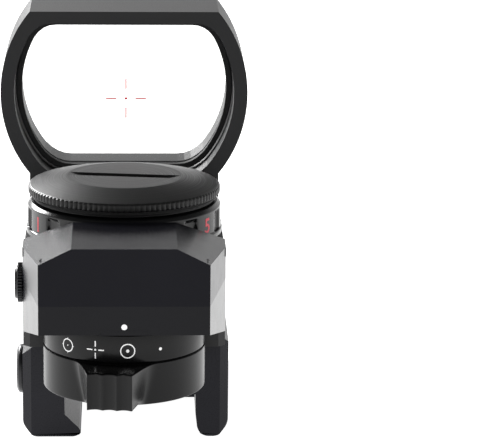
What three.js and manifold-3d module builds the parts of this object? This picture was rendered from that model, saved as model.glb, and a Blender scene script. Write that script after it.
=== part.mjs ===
// Reflex red dot sight with a leaning lens hood, a brightness dial under a coin-slot battery cap,
// a rotary reticle selector below the rear housing, and a screw clamp for a dovetail rail.
// Millimetres. +X is the user's right, +Y points forward to the target, +Z is up.
// The origin is the middle of the flat rail seat.
import * as THREE from "three";
import { mergeVertices } from "three/addons/utils/BufferGeometryUtils.js";
import Module from "manifold-3d";

const wasm = await Module();
wasm.setup();

// ---------------------------------------------------------------- driving dimensions
const FIT = 0.3; // running gap between two pieces
const ROUND = 48; // facets of a large round
const SMALL_ROUND = 16; // facets of a small round

// rail clamp, sized for a 21.2 mm dovetail rail with 45 degree flanks
const RAIL_HALF = 10.6; // half of the rail's widest part
const RAIL_NECK_HALF = 7.84; // half of the neck under the rail's head
const RAIL_EDGE_DROP = 3.1; // from the seat down to the lower end of the rail's edge
const RAIL_GAP = 0.15; // play between the rail and a jaw
const JAW_DROP = 6.6; // from the seat down to the feet of the jaws
const SEAT_FRONT = 21;
const JAW_WALL = 4.95; // fixed jaw, from its groove to its outer face
const JAW_CHAMFER = 1.6;
const JAW_CLOSED_EXTRA = 1.75; // the empty clamp closes this much past the rail's width
const JAW_TOP = 7.6; // upper edge of the movable jaw
const JAW_OUTER = 15.3; // outer face of the movable jaw
const HOOK_LENGTH = 23; // hook of the fixed jaw, from the front end backwards

// clamp screw
const CLAMP_Y = -10;
const CLAMP_Z = 0.6;
const CLAMP_RADIUS = 2;
const CLAMP_HEAD_RADIUS = 3.8;
const CLAMP_HEAD = 1.1;

// pins that guide the movable jaw
const GUIDE_PIN_RADIUS = 1.25;
const GUIDE_PIN_Z = 4.6;
const GUIDE_PIN_PLACES = [-17.5, 16.5];

// body
const BODY_HALF = 14.9;
const BODY_FLOOR = 9.5; // underside, where the clamp base is bolted on
const DECK = 23.1; // top deck that carries the dial
const BODY_EDGE = 1.0; // chamfer of the upright rear edges

// lens hood: a circle with a flat top and a flat floor, leaning forward
const HOOD_Y = 10; // rear rim at the middle height
const HOOD_RISE = 16.8; // middle of the window above the deck
const HOOD_RADIUS = 19.5;
const HOOD_WALL = 2.15;
const HOOD_TOP = 12.6; // flat top above the middle
const HOOD_TOP_WALL = 1.8;
const HOOD_SILL = 13.3; // floor of the window below the middle
const HOOD_DEPTH = 14;
const HOOD_LEAN = Math.tan(THREE.MathUtils.degToRad(9));
const HOOD_Z = DECK + HOOD_RISE;
const WINDOW_CORNER = 2.2;
const HOOD_STEPS = 26; // facets of each curved side, outside
const WINDOW_STEPS = 20; // and inside

// lens and its bezel
const LENS_SETBACK = 6.2; // from the rear rim to the lens
const LENS_THICK = 1.8;
const LENS_LIP = 0.9; // step that the lens rests against
const BEZEL_DEPTH = 1.2;
const BEZEL_WIDTH = 0.8;

// brightness dial, battery hub and cap, all on one upright axis
const DIAL_RADIUS = 14.8;
const DIAL_LIP_INSET = 0.25; // upper edge of the dial inside its base
const DIAL_HEIGHT = 4.9;
const DIAL_LIFT = 0.4; // dial above the deck
const DIAL_BEHIND_HOOD = 6.8; // from the foot of the hood to the dial
const HUB_PLAY = 0.4; // round the cell
const HUB_WALL = 0.8;
const HUB_SUNK = 0.7; // hub floor below the deck
const HUB_FLOOR = 0.9;
const CELL_RADIUS = 10;
const CELL_HEIGHT = 3.2;
const CONTACT_THICK = 0.25;
const CAP_INSET = 0.35; // rim of the cap inside the dial
const CAP_RIM = 1.3;
const CAP_CONE = 1.15;
const CAP_FLAT_RADIUS = 8.85;
const CAP_SLOT_WIDTH = 2.0;
const CAP_SLOT_LENGTH = 16.8;
const CAP_SLOT_DEPTH = 0.7;
const CAP_SLOT_TURN = THREE.MathUtils.degToRad(-8);
const CAP_PLATE = 1.3;
const GASKET_INSET = 0.9; // gasket inside the dial
const GASKET_HEIGHT = 0.85;

// rear housing and its lower cover: narrower at the rear end
const HOUSING_GAP = 0.5; // between the dial and the housing
const HOUSING_DEPTH = 16;
const HOUSING_REAR_HALF = 12.2;
const HOUSING_TOP = 28.4;
const HOUSING_TOP_HALF = 7.5;
const SHOULDER_SLOPE = 0.5; // fall of the shoulder facets for each millimetre outwards
const SHOULDER_REACH = 4.9; // how far the shoulders run forward beside the dial
const SEAM = 20.0;
const COVER_REAR_Z = 15.8; // lower edge of the cover at the rear
const COVER_FRONT_Z = 11.9; // and at its front end
const SHELL = 1.3;

// reticle selector: a symbol drum and a grip ring on an upright pivot
const SELECTOR_RADIUS = 11.8;
const SELECTOR_TOP = 15.3;
const SELECTOR_SPLIT = 11.35;
const SELECTOR_BOTTOM = 5.3;
const SELECTOR_WALL = 1.3;
const TAB_REACH = 5.0; // finger tab beyond the grip ring
const TAB_HALF = 3.4;
const TAB_ROOT_HALF = 5.6;
const TAB_FLUTES = 3;
const FLUTE_DEPTH = 0.55;
const TAB_TURN = THREE.MathUtils.degToRad(-8);
const PIVOT_RADIUS = 1.6;
const SLEEVE_RADIUS = 2.8;
const MASK_THICK = 0.25;
const APERTURE_RADIUS = 7; // from the pivot to each reticle
const RETICLE_PITCH = THREE.MathUtils.degToRad(24.5);
const RETICLE_STEPS = [-2, -1, 0, 1]; // four reticles, the third one selected

// optics inside: the light turns up, forward through a duct, and up to the lens
const DUCT_HALF = 2.2;
const DUCT_Z = 18.6;
const CARRIAGE_HALF = [5, 2.3, 1.7];
const CHAMBER_WALL = 0.4; // body wall behind the carriage
const CARRIAGE_TRAVEL = 0.7;
const CARRIAGE_BORE_END = -1.9; // inner end of the carriage's screw bore
const MIRROR_HALF = 4;
const MIRROR_TRAVEL = 0.5;
const GLASS_THICK = 0.8;
const ADJUSTER_RADIUS = 1.1;

// ---------------------------------------------------------------- places worked out from them
const SEAT_HALF_RIGHT = RAIL_HALF + RAIL_GAP;
const HUB_RADIUS = CELL_RADIUS + HUB_PLAY + HUB_WALL;
const DIAL_LIP_RADIUS = DIAL_RADIUS - DIAL_LIP_INSET;
const CAP_RADIUS = DIAL_RADIUS - CAP_INSET;
const GASKET_RADIUS = DIAL_RADIUS - GASKET_INSET;
const JAW_GROOVE = -(RAIL_HALF + RAIL_GAP - JAW_CLOSED_EXTRA);
const BASE_LEFT = JAW_GROOVE + FIT;
const HOOD_FOOT_REAR = HOOD_Y - HOOD_LEAN * HOOD_SILL;
const BODY_FRONT = HOOD_Y + HOOD_DEPTH - HOOD_LEAN * HOOD_RISE;
const DIAL_Y = HOOD_FOOT_REAR - DIAL_BEHIND_HOOD - DIAL_RADIUS;
const DIAL_BOTTOM = DECK + DIAL_LIFT;
const DIAL_TOP = DIAL_BOTTOM + DIAL_HEIGHT;
const HOUSING_FRONT = DIAL_Y - DIAL_RADIUS - HOUSING_GAP;
const HOUSING_REAR = HOUSING_FRONT - HOUSING_DEPTH;
const CARRIAGE_Y = HOUSING_FRONT + CHAMBER_WALL + FIT + CARRIAGE_HALF[1];
const SELECTOR_Y = CARRIAGE_Y - APERTURE_RADIUS;
const SEAT_REAR = HOUSING_FRONT + 7;
const HUB_BOTTOM = DECK - HUB_SUNK;
const CONTACT_BOTTOM = HUB_BOTTOM + HUB_FLOOR;
const CELL_BOTTOM = CONTACT_BOTTOM + CONTACT_THICK;
const CELL_TOP = CELL_BOTTOM + CELL_HEIGHT;
const GASKET_BOTTOM = DIAL_TOP + FIT;
const CAP_BOTTOM = GASKET_BOTTOM + GASKET_HEIGHT;
const CAP_RIM_TOP = CAP_BOTTOM + CAP_RIM;
const CAP_TOP = CAP_RIM_TOP + CAP_CONE;
const CAP_UNDERSIDE = CAP_TOP - CAP_SLOT_DEPTH - CAP_PLATE;
const POCKET_CEILING = SELECTOR_TOP + MASK_THICK + 2 * FIT;
const SELECTOR_CLEAR = SELECTOR_RADIUS + 0.6;
const WELL_REAR = DIAL_Y + DIAL_RADIUS + 0.8;
const WELL_FRONT = HOOD_FOOT_REAR - 0.7;
const WELL_Y = (WELL_REAR + WELL_FRONT) / 2;
const ELEVATION_X = MIRROR_HALF + 5;
const BASE_SCREW_PLACES = [[-3.5, -17], [5, -17], [-3.5, 15], [5, 15]];
const COVER_SCREW_X = HOUSING_REAR_HALF - 1.8;
const COVER_SCREW_Y = HOUSING_REAR + 1.9;
const COVER_SCREW_HEAD = COVER_REAR_Z + 1.3; // top of the screw's head
const HUB_SCREW_X = 5;
const RHEOSTAT_RADII = [HUB_RADIUS + 1, HUB_RADIUS + 1.9];
const DIAL_BALL_RADIUS = 0.6;
const DIAL_BALL_PLACE = DIAL_RADIUS - 0.95; // from the dial's axis
const SELECTOR_BALL_PLACE = SELECTOR_RADIUS - 1.9; // from the selector's pivot
const MASK_RADIUS = SELECTOR_BALL_PLACE - 1.1;
const DETENT_HOLE = DIAL_BALL_RADIUS + 0.2;

// ---------------------------------------------------------------- shape helpers
function solid(geometry) {
  const bare = geometry.index ? geometry.clone() : geometry;
  bare.deleteAttribute("normal");
  bare.deleteAttribute("uv");
  const merged = mergeVertices(bare, 1e-5);
  return new wasm.Manifold(new wasm.Mesh({
    numProp: 3,
    vertProperties: merged.attributes.position.array,
    triVerts: new Uint32Array(merged.index.array),
  }));
}

function geometryOf(manifold) {
  const mesh = manifold.getMesh();
  const geometry = new THREE.BufferGeometry();
  geometry.setAttribute("position", new THREE.BufferAttribute(mesh.vertProperties, 3));
  geometry.setIndex(new THREE.BufferAttribute(mesh.triVerts, 1));
  return geometry;
}

const join = (first, ...others) => others.reduce((sum, piece) => sum.add(piece), first);
const cut = (first, ...others) => others.reduce((rest, piece) => rest.subtract(piece), first);

function block(x0, x1, y0, y1, z0, z1) {
  const box = new THREE.BoxGeometry(x1 - x0, y1 - y0, z1 - z0);
  return solid(box.translate((x0 + x1) / 2, (y0 + y1) / 2, (z0 + z1) / 2));
}

function post(radius, x, y, z0, z1, facets = SMALL_ROUND) {
  const rod = new THREE.CylinderGeometry(radius, radius, z1 - z0, facets);
  return solid(rod.rotateX(Math.PI / 2).translate(x, y, (z0 + z1) / 2));
}

function rodAlongX(radius, x0, x1, y, z, facets = SMALL_ROUND) {
  const rod = new THREE.CylinderGeometry(radius, radius, x1 - x0, facets);
  return solid(rod.rotateZ(Math.PI / 2).translate((x0 + x1) / 2, y, z));
}

function ball(radius, x, y, z) {
  return solid(new THREE.SphereGeometry(radius, 12, 8).translate(x, y, z));
}

function shapeOf(points) {
  return new THREE.Shape(points.map(([a, b]) => new THREE.Vector2(a, b)));
}

function extruded(points, depth) {
  return new THREE.ExtrudeGeometry(shapeOf(points), { depth, bevelEnabled: false });
}

// plan outline (x, y) raised from z0 to z1
function raised(points, z0, z1) {
  return solid(extruded(points, z1 - z0).translate(0, 0, z0));
}

// cross section (x, z) drawn along Y from y0 to y1
function drawnAlongY(points, y0, y1) {
  return solid(extruded(points, y1 - y0).rotateX(Math.PI / 2).translate(0, y1, 0));
}

// side profile (y, z) drawn along X from x0 to x1
function drawnAlongX(points, x0, x1) {
  const turn = new THREE.Matrix4().makeBasis(
    new THREE.Vector3(0, 1, 0), new THREE.Vector3(0, 0, 1), new THREE.Vector3(1, 0, 0));
  return solid(extruded(points, x1 - x0).applyMatrix4(turn).translate(x0, 0, 0));
}

// ring or disc turned from a closed profile of (radius, z) points given anticlockwise
function turned(profile, x, y, facets = ROUND) {
  const points = [...profile, profile[0]].map(([radius, z]) => new THREE.Vector2(radius, z));
  return solid(new THREE.LatheGeometry(points, facets).rotateX(Math.PI / 2).translate(x, y, 0));
}

function ring(inner, outer, x, y, z0, z1, facets = ROUND) {
  return turned([[inner, z0], [outer, z0], [outer, z1], [inner, z1]], x, y, facets);
}

// convex outline at one Y joined by flat facets to the same outline at another Y
function facetedBetween(rear, rearY, front, frontY) {
  const count = rear.length;
  const positions = [];
  rear.forEach(([x, z]) => positions.push(x, rearY, z));
  front.forEach(([x, z]) => positions.push(x, frontY, z));
  const faces = [];
  for (let i = 0; i < count; i += 1) {
    const next = (i + 1) % count;
    faces.push(i, count + next, next, i, count + i, count + next);
  }
  for (let i = 1; i < count - 1; i += 1) {
    faces.push(0, i, i + 1, count, count + i + 1, count + i);
  }
  const geometry = new THREE.BufferGeometry();
  geometry.setAttribute("position", new THREE.Float32BufferAttribute(positions, 3));
  geometry.setIndex(faces);
  return solid(geometry);
}

const polar = (radius, angle, x = 0, y = 0) =>
  [x + radius * Math.sin(angle), y - radius * Math.cos(angle)];

// ---------------------------------------------------------------- finishes
const FINISHES = {
  castBlack: { color: 0x2e2e30, roughness: 0.55, metalness: 0.3 },
  coverBlack: { color: 0x28272c, roughness: 0.42, metalness: 0.1 },
  glossBlack: { color: 0x1c1c1e, roughness: 0.25, metalness: 0.1 },
  capBlack: { color: 0x3a3a3a, roughness: 0.4, metalness: 0.6 },
  rubber: { color: 0x0c0c0d, roughness: 0.8, metalness: 0 },
  steel: { color: 0x9c9ea2, roughness: 0.35, metalness: 1 },
  darkSteel: { color: 0x1e1e20, roughness: 0.4, metalness: 0.8 },
  brass: { color: 0xb08d45, roughness: 0.35, metalness: 1 },
  board: { color: 0x1f5a34, roughness: 0.5, metalness: 0 },
  glass: { color: 0xe6eef0, roughness: 0.03, metalness: 0, transparent: true, opacity: 0.35 },
  white: { color: 0xf4f4f4, roughness: 0.6, metalness: 0 },
  redDiode: { color: 0xb02020, roughness: 0.2, metalness: 0 },
  greenDiode: { color: 0x2f9a3c, roughness: 0.2, metalness: 0 },
};

const sight = new THREE.Group();

function add(name, manifold, finish) {
  const mesh = new THREE.Mesh(geometryOf(manifold), new THREE.MeshStandardMaterial(FINISHES[finish]));
  mesh.name = name;
  sight.add(mesh);
}

// ---------------------------------------------------------------- hood outline
// Circle cut by a flat top and a flat floor; each corner is rounded by a short curve.
function windowOutline(radius, top, sill, corner) {
  const side = (x) => {
    const topAngle = Math.asin((top - corner * 0.9) / radius);
    const sillAngle = -Math.asin((sill - corner * 0.9) / radius);
    const arc = [];
    for (let i = 0; i <= WINDOW_STEPS; i += 1) {
      const angle = topAngle + ((sillAngle - topAngle) * i) / WINDOW_STEPS;
      arc.push([x * radius * Math.cos(angle), radius * Math.sin(angle)]);
    }
    return arc;
  };
  const curve = (start, control, end) => [0.25, 0.5, 0.75].map((t) => [
    (1 - t) ** 2 * start[0] + 2 * t * (1 - t) * control[0] + t * t * end[0],
    (1 - t) ** 2 * start[1] + 2 * t * (1 - t) * control[1] + t * t * end[1]]);
  const cornerX = (height) => Math.sqrt(radius ** 2 - height ** 2);
  const right = side(1);
  const left = side(-1).reverse();
  const topRight = [cornerX(top) - corner, top];
  const sillRight = [cornerX(sill) - corner, -sill];
  const mirror = ([x, z]) => [-x, z];
  return [
    topRight, ...curve(topRight, [cornerX(top), top], right[0]), ...right,
    ...curve(right[right.length - 1], [cornerX(sill), -sill], sillRight), sillRight,
    mirror(sillRight), ...curve(mirror(sillRight), [-cornerX(sill), -sill], left[0]), ...left,
    ...curve(left[left.length - 1], [-cornerX(top), top], mirror(topRight)), mirror(topRight),
  ];
}

// Leans a shape drawn upright about the middle of the hood and lifts it to its place.
function leaned(manifold) {
  return manifold.transform([
    1, 0, 0, 0,
    0, 1, 0, 0,
    0, HOOD_LEAN, 1, 0,
    0, HOOD_Y, HOOD_Z, 1,
  ]);
}

const WINDOW_RADIUS = HOOD_RADIUS - HOOD_WALL;
const WINDOW_TOP = HOOD_TOP - HOOD_TOP_WALL;

function windowSlab(shrink, y0, y1) {
  const outline = windowOutline(WINDOW_RADIUS - shrink, WINDOW_TOP - shrink, HOOD_SILL - shrink,
    WINDOW_CORNER);
  return leaned(drawnAlongY(outline, y0, y1));
}

function hoodShell() {
  const shoulder = Math.sqrt(HOOD_RADIUS ** 2 - BODY_HALF ** 2);
  const start = Math.asin(HOOD_TOP / HOOD_RADIUS);
  const end = -Math.asin(shoulder / HOOD_RADIUS);
  const right = [];
  for (let i = 0; i <= HOOD_STEPS; i += 1) {
    const angle = start + ((end - start) * i) / HOOD_STEPS;
    right.push([HOOD_RADIUS * Math.cos(angle), HOOD_RADIUS * Math.sin(angle)]);
  }
  right.push([BODY_HALF, -HOOD_RISE - 1]);
  const left = right.map(([x, z]) => [-x, z]).reverse();
  return leaned(drawnAlongY([...right, ...left], 0, HOOD_DEPTH));
}

// ---------------------------------------------------------------- main body
function bodyBlock() {
  const plan = [
    [-BODY_HALF, HOUSING_FRONT + BODY_EDGE], [-BODY_HALF + BODY_EDGE, HOUSING_FRONT],
    [BODY_HALF - BODY_EDGE, HOUSING_FRONT], [BODY_HALF, HOUSING_FRONT + BODY_EDGE],
    [BODY_HALF, BODY_FRONT], [-BODY_HALF, BODY_FRONT],
  ];
  return raised(plan, BODY_FLOOR, DECK);
}

function mainBody() {
  const [halfX, halfY, halfZ] = CARRIAGE_HALF;
  const chamberTop = DUCT_Z + halfZ + FIT;
  let body = join(hoodShell(), bodyBlock());
  body = cut(body,
    windowSlab(LENS_LIP, -3, HOOD_DEPTH + 3),
    windowSlab(0, -3, LENS_SETBACK + LENS_THICK + FIT));
  body = cut(body,
    // pocket around the reticle selector
    post(SELECTOR_CLEAR, 0, SELECTOR_Y, BODY_FLOOR - 1, POCKET_CEILING, ROUND),
    // chamber of the prism carriage, its light hole, and the duct under the dial
    block(-halfX - CARRIAGE_TRAVEL - 2 * FIT, halfX + CARRIAGE_TRAVEL + 2 * FIT,
      CARRIAGE_Y - halfY - FIT, CARRIAGE_Y + halfY + FIT, DUCT_Z - halfZ - FIT, chamberTop),
    post(1.5, 0, CARRIAGE_Y, POCKET_CEILING - 1, DUCT_Z),
    block(-DUCT_HALF, DUCT_HALF, CARRIAGE_Y, WELL_Y, DUCT_Z - 1.5, DUCT_Z + 1.5),
    rodAlongX(ADJUSTER_RADIUS + FIT, -BODY_HALF - 1, 0, CARRIAGE_Y, DUCT_Z),
    // well of the mirror block, with a step for its window
    block(-MIRROR_HALF - FIT, ELEVATION_X + 2.4 + FIT, WELL_REAR, WELL_FRONT,
      DUCT_Z - 4.4, DECK - 2.2),
    block(-MIRROR_HALF + 0.6, MIRROR_HALF - 0.6, WELL_REAR + 0.6, WELL_FRONT - 0.6,
      DUCT_Z, DECK + 1),
    block(-MIRROR_HALF, MIRROR_HALF, WELL_REAR, WELL_FRONT, DECK - GLASS_THICK, DECK + 1),
    post(ADJUSTER_RADIUS + FIT, ELEVATION_X, WELL_Y, DUCT_Z, DECK + 1),
    // seats of the battery hub and the rheostat ring, and the hole of the dial's detent
    post(HUB_RADIUS + FIT, 0, DIAL_Y, HUB_BOTTOM, DECK + 1, ROUND),
    ring(RHEOSTAT_RADII[0] - 0.2, RHEOSTAT_RADII[1] + 0.2, 0, DIAL_Y, DECK - 0.8, DECK + 1),
    post(DIAL_BALL_RADIUS + 0.2, 0, DIAL_Y + DIAL_BALL_PLACE, DECK - 3.4, DECK + 1));
  for (const x of [-HUB_SCREW_X, HUB_SCREW_X]) {
    body = cut(body, post(0.8 + FIT, x, DIAL_Y, HUB_BOTTOM - 1.4, DECK));
  }
  for (const [x, y] of BASE_SCREW_PLACES) {
    body = cut(body, post(1.2 + FIT, x, y, BODY_FLOOR - 1, BODY_FLOOR + 3.4));
  }
  return body;
}
add("main_body", mainBody(), "castBlack");

// ---------------------------------------------------------------- lens
function lensAndBezel() {
  const seatY = LENS_SETBACK + LENS_THICK;
  add("lens", windowSlab(FIT, LENS_SETBACK, seatY), "glass");
  const bezel = cut(
    windowSlab(FIT, LENS_SETBACK - BEZEL_DEPTH, LENS_SETBACK),
    windowSlab(FIT + BEZEL_WIDTH, LENS_SETBACK - BEZEL_DEPTH - 1, LENS_SETBACK + 1));
  add("lens_bezel", bezel, "rubber");
}
lensAndBezel();

// ---------------------------------------------------------------- rear housing and lower cover
function shoulderAt(half) {
  return HOUSING_TOP - SHOULDER_SLOPE * (half - HOUSING_TOP_HALF);
}

function housingSection(half, inset, floor) {
  const shoulder = shoulderAt(half - inset) - inset;
  return [
    [-half + inset, floor], [half - inset, floor], [half - inset, shoulder],
    [HOUSING_TOP_HALF, HOUSING_TOP - inset], [-HOUSING_TOP_HALF, HOUSING_TOP - inset],
    [-half + inset, shoulder],
  ];
}

function halfWidthAt(y) {
  const share = (y - HOUSING_REAR) / HOUSING_DEPTH;
  return HOUSING_REAR_HALF + (BODY_HALF - HOUSING_REAR_HALF) * share;
}

function rearHousing() {
  const rearInside = HOUSING_REAR + SHELL;
  const frontInside = HOUSING_FRONT - SHELL;
  const shell = cut(
    facetedBetween(
      housingSection(HOUSING_REAR_HALF, 0, SEAM), HOUSING_REAR,
      housingSection(BODY_HALF, 0, SEAM), HOUSING_FRONT),
    facetedBetween(
      housingSection(halfWidthAt(rearInside), SHELL, SEAM - 1), rearInside,
      housingSection(halfWidthAt(frontInside), SHELL, SEAM - 1), frontInside));
  // shoulders that run forward over the deck, cut back along a slant to clear the dial
  const slant = 1.4 * SHOULDER_REACH;
  const slantHalf = HOUSING_TOP_HALF + 1.4 * (BODY_HALF - HOUSING_TOP_HALF);
  const shoulders = cut(
    facetedBetween(
      housingSection(BODY_HALF, 0, DECK + FIT), HOUSING_FRONT - SHELL / 2,
      housingSection(BODY_HALF, 0, DECK + FIT), HOUSING_FRONT + SHOULDER_REACH),
    raised([
      [-HOUSING_TOP_HALF, HOUSING_FRONT], [HOUSING_TOP_HALF, HOUSING_FRONT],
      [slantHalf, HOUSING_FRONT + slant], [-slantHalf, HOUSING_FRONT + slant],
    ], DECK - 1, HOUSING_TOP + 1));
  const bossPlaces = [-COVER_SCREW_X, COVER_SCREW_X];
  const bossTop = shoulderAt(COVER_SCREW_X) - SHELL / 2;
  const bosses = bossPlaces.map((x) => post(1.7, x, COVER_SCREW_Y, SEAM, bossTop));
  const holes = bossPlaces.map((x) => post(0.8 + FIT, x, COVER_SCREW_Y, SEAM - 1, SEAM + 2.5));
  return cut(join(shell, shoulders, ...bosses), ...holes);
}
add("rear_housing", rearHousing(), "coverBlack");

function coverPlan(inset) {
  const rear = HOUSING_REAR + inset;
  const front = HOUSING_FRONT - inset;
  return [
    [-halfWidthAt(rear) + inset, rear], [halfWidthAt(rear) - inset, rear],
    [halfWidthAt(front) - inset, front], [-halfWidthAt(front) + inset, front],
  ];
}

function lowerCover() {
  const floorTop = POCKET_CEILING + 1.2;
  const slant = (COVER_REAR_Z - COVER_FRONT_Z) / HOUSING_DEPTH;
  const below = drawnAlongX([
    [HOUSING_REAR - 1, COVER_FRONT_Z - 5], [HOUSING_FRONT + 1, COVER_FRONT_Z - 5],
    [HOUSING_FRONT + 1, COVER_FRONT_Z - slant], [HOUSING_REAR - 1, COVER_REAR_Z + slant],
  ], -BODY_HALF - 1, BODY_HALF + 1);
  let cover = cut(
    raised(coverPlan(0), COVER_FRONT_Z - 1, SEAM),
    below,
    raised(coverPlan(SHELL), floorTop, SEAM + 1),
    post(SELECTOR_CLEAR, 0, SELECTOR_Y, COVER_FRONT_Z - 3, POCKET_CEILING, ROUND));
  // boss of the selector's pivot and seats of the two cover screws
  cover = join(cover, post(3.2, 0, SELECTOR_Y, floorTop - 0.5, SEAM - 0.6, 24));
  cover = cut(cover, post(PIVOT_RADIUS + FIT, 0, SELECTOR_Y, POCKET_CEILING - 1, SEAM - 1));
  cover = cut(cover, post(DETENT_HOLE, 0, SELECTOR_Y - SELECTOR_BALL_PLACE,
    POCKET_CEILING - 1, floorTop + 1));
  for (const x of [-COVER_SCREW_X, COVER_SCREW_X]) {
    cover = join(cover, post(1.6, x, COVER_SCREW_Y, POCKET_CEILING + 0.5, SEAM));
    cover = cut(cover, post(0.8 + FIT, x, COVER_SCREW_Y, COVER_FRONT_Z - 2, SEAM + 1),
      post(1.3 + FIT, x, COVER_SCREW_Y, COVER_FRONT_Z - 2, COVER_SCREW_HEAD + 0.2));
  }
  return cover;
}
add("lower_cover", lowerCover(), "coverBlack");

const INDEX_DOT_Z = (COVER_REAR_Z + SEAM) / 2 - 0.9;
add("index_dot", solid(new THREE.CylinderGeometry(0.42, 0.42, 0.12, SMALL_ROUND)
  .translate(0, HOUSING_REAR - 0.06, INDEX_DOT_Z)), "white");

for (const [name, x] of [
  ["cover_screw_left", -COVER_SCREW_X], ["cover_screw_right", COVER_SCREW_X]]) {
  const screw = join(
    post(1.3, x, COVER_SCREW_Y, COVER_SCREW_HEAD - 1, COVER_SCREW_HEAD),
    post(0.8, x, COVER_SCREW_Y, COVER_SCREW_HEAD - 0.5, SEAM + 2.2));
  add(name, screw, "darkSteel");
}

// ---------------------------------------------------------------- battery hub, cell and cap
function batteryHub() {
  const inner = HUB_RADIUS - HUB_WALL;
  let hub = turned([
    [0, HUB_BOTTOM], [HUB_RADIUS, HUB_BOTTOM], [HUB_RADIUS, CAP_BOTTOM - FIT],
    [inner, CAP_BOTTOM - FIT], [inner, CONTACT_BOTTOM], [0, CONTACT_BOTTOM],
  ], 0, DIAL_Y);
  for (const x of [-HUB_SCREW_X, HUB_SCREW_X]) {
    hub = cut(hub, post(0.8 + FIT, x, DIAL_Y, HUB_BOTTOM - 1, CONTACT_BOTTOM + 1),
      post(1.5 + 0.2, x, DIAL_Y, CONTACT_BOTTOM - 0.55, CONTACT_BOTTOM + 1));
  }
  return hub;
}
add("battery_hub", batteryHub(), "glossBlack");

for (const [name, x] of [["hub_screw_left", -HUB_SCREW_X], ["hub_screw_right", HUB_SCREW_X]]) {
  const screw = join(
    post(1.5, x, DIAL_Y, CONTACT_BOTTOM - 0.55, CONTACT_BOTTOM - 0.1),
    post(0.8, x, DIAL_Y, HUB_BOTTOM - 1.2, CONTACT_BOTTOM - 0.3));
  add(name, screw, "steel");
}

add("base_contact", post(CELL_RADIUS - 2.5, 0, DIAL_Y, CONTACT_BOTTOM, CELL_BOTTOM, 32), "brass");
add("coin_cell", turned([
  [0, CELL_BOTTOM], [CELL_RADIUS - 1.2, CELL_BOTTOM], [CELL_RADIUS - 1.2, CELL_BOTTOM + 0.5],
  [CELL_RADIUS, CELL_BOTTOM + 0.8], [CELL_RADIUS, CELL_TOP], [0, CELL_TOP],
], 0, DIAL_Y), "steel");

function batteryCap() {
  const skirt = HUB_RADIUS - HUB_WALL - FIT;
  const skirtInner = skirt - 1;
  const cap = turned([
    [0, CAP_UNDERSIDE], [skirtInner, CAP_UNDERSIDE], [skirtInner, CELL_TOP + FIT],
    [skirt, CELL_TOP + FIT], [skirt, CAP_BOTTOM], [CAP_RADIUS, CAP_BOTTOM],
    [CAP_RADIUS, CAP_RIM_TOP], [CAP_FLAT_RADIUS, CAP_TOP], [0, CAP_TOP],
  ], 0, DIAL_Y, 64);
  const slot = new THREE.BoxGeometry(CAP_SLOT_LENGTH, CAP_SLOT_WIDTH, 2 * CAP_SLOT_DEPTH)
    .rotateZ(CAP_SLOT_TURN).translate(0, DIAL_Y, CAP_TOP);
  return cut(cap, solid(slot));
}
add("battery_cap", batteryCap(), "capBlack");
add("cap_gasket",
  ring(HUB_RADIUS + FIT, GASKET_RADIUS, 0, DIAL_Y, GASKET_BOTTOM, CAP_BOTTOM), "rubber");
add("cap_contact", turned([
  [0, CELL_TOP + FIT], [2.2, CELL_TOP + FIT], [4.6, CAP_UNDERSIDE - 0.3],
  [4.6, CAP_UNDERSIDE], [0, CAP_UNDERSIDE],
], 0, DIAL_Y, 24), "brass");

// ---------------------------------------------------------------- brightness dial
function brightnessDial() {
  const inner = HUB_RADIUS + 0.4;
  const dial = turned([
    [inner, DIAL_BOTTOM], [DIAL_RADIUS, DIAL_BOTTOM], [DIAL_RADIUS, DIAL_BOTTOM + 0.8],
    [DIAL_LIP_RADIUS, DIAL_TOP - 0.5], [DIAL_LIP_RADIUS - 0.6, DIAL_TOP], [inner, DIAL_TOP],
  ], 0, DIAL_Y, 60);
  const ballTrack = ring(DIAL_BALL_PLACE - 0.75, DIAL_BALL_PLACE + 0.65, 0, DIAL_Y,
    DIAL_BOTTOM - 1, DIAL_BOTTOM + 0.6);
  return cut(dial, ballTrack);
}
add("brightness_dial", brightnessDial(), "glossBlack");

function ringArc(inner, outer, fromAngle, toAngle, z0, z1) {
  const points = [];
  const steps = Math.max(2, Math.ceil(Math.abs(toAngle - fromAngle) / 0.26));
  for (let i = 0; i <= steps; i += 1) {
    points.push(polar(outer, fromAngle + ((toAngle - fromAngle) * i) / steps, 0, DIAL_Y));
  }
  for (let i = steps; i >= 0; i -= 1) {
    points.push(polar(inner, fromAngle + ((toAngle - fromAngle) * i) / steps, 0, DIAL_Y));
  }
  return raised(points, z0, z1);
}
const QUARTER = Math.PI / 2;
add("rheostat_ring", ringArc(RHEOSTAT_RADII[0], RHEOSTAT_RADII[1], -1.9 * QUARTER, 1.9 * QUARTER,
  DECK - 0.8, DECK - 0.3), "board");
add("dial_wiper", ringArc(RHEOSTAT_RADII[0] + 0.05, RHEOSTAT_RADII[1] - 0.15, -0.12, 0.12,
  DECK, DIAL_BOTTOM), "brass");
const DIAL_BALL_Z = DECK + 0.25;
add("dial_detent_ball",
  ball(DIAL_BALL_RADIUS, 0, DIAL_Y + DIAL_BALL_PLACE, DIAL_BALL_Z), "steel");
add("dial_detent_spring", ring(0.3, DIAL_BALL_RADIUS, 0, DIAL_Y + DIAL_BALL_PLACE, DECK - 3.4,
  DIAL_BALL_Z - DIAL_BALL_RADIUS - 0.1, 12), "steel");

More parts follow.
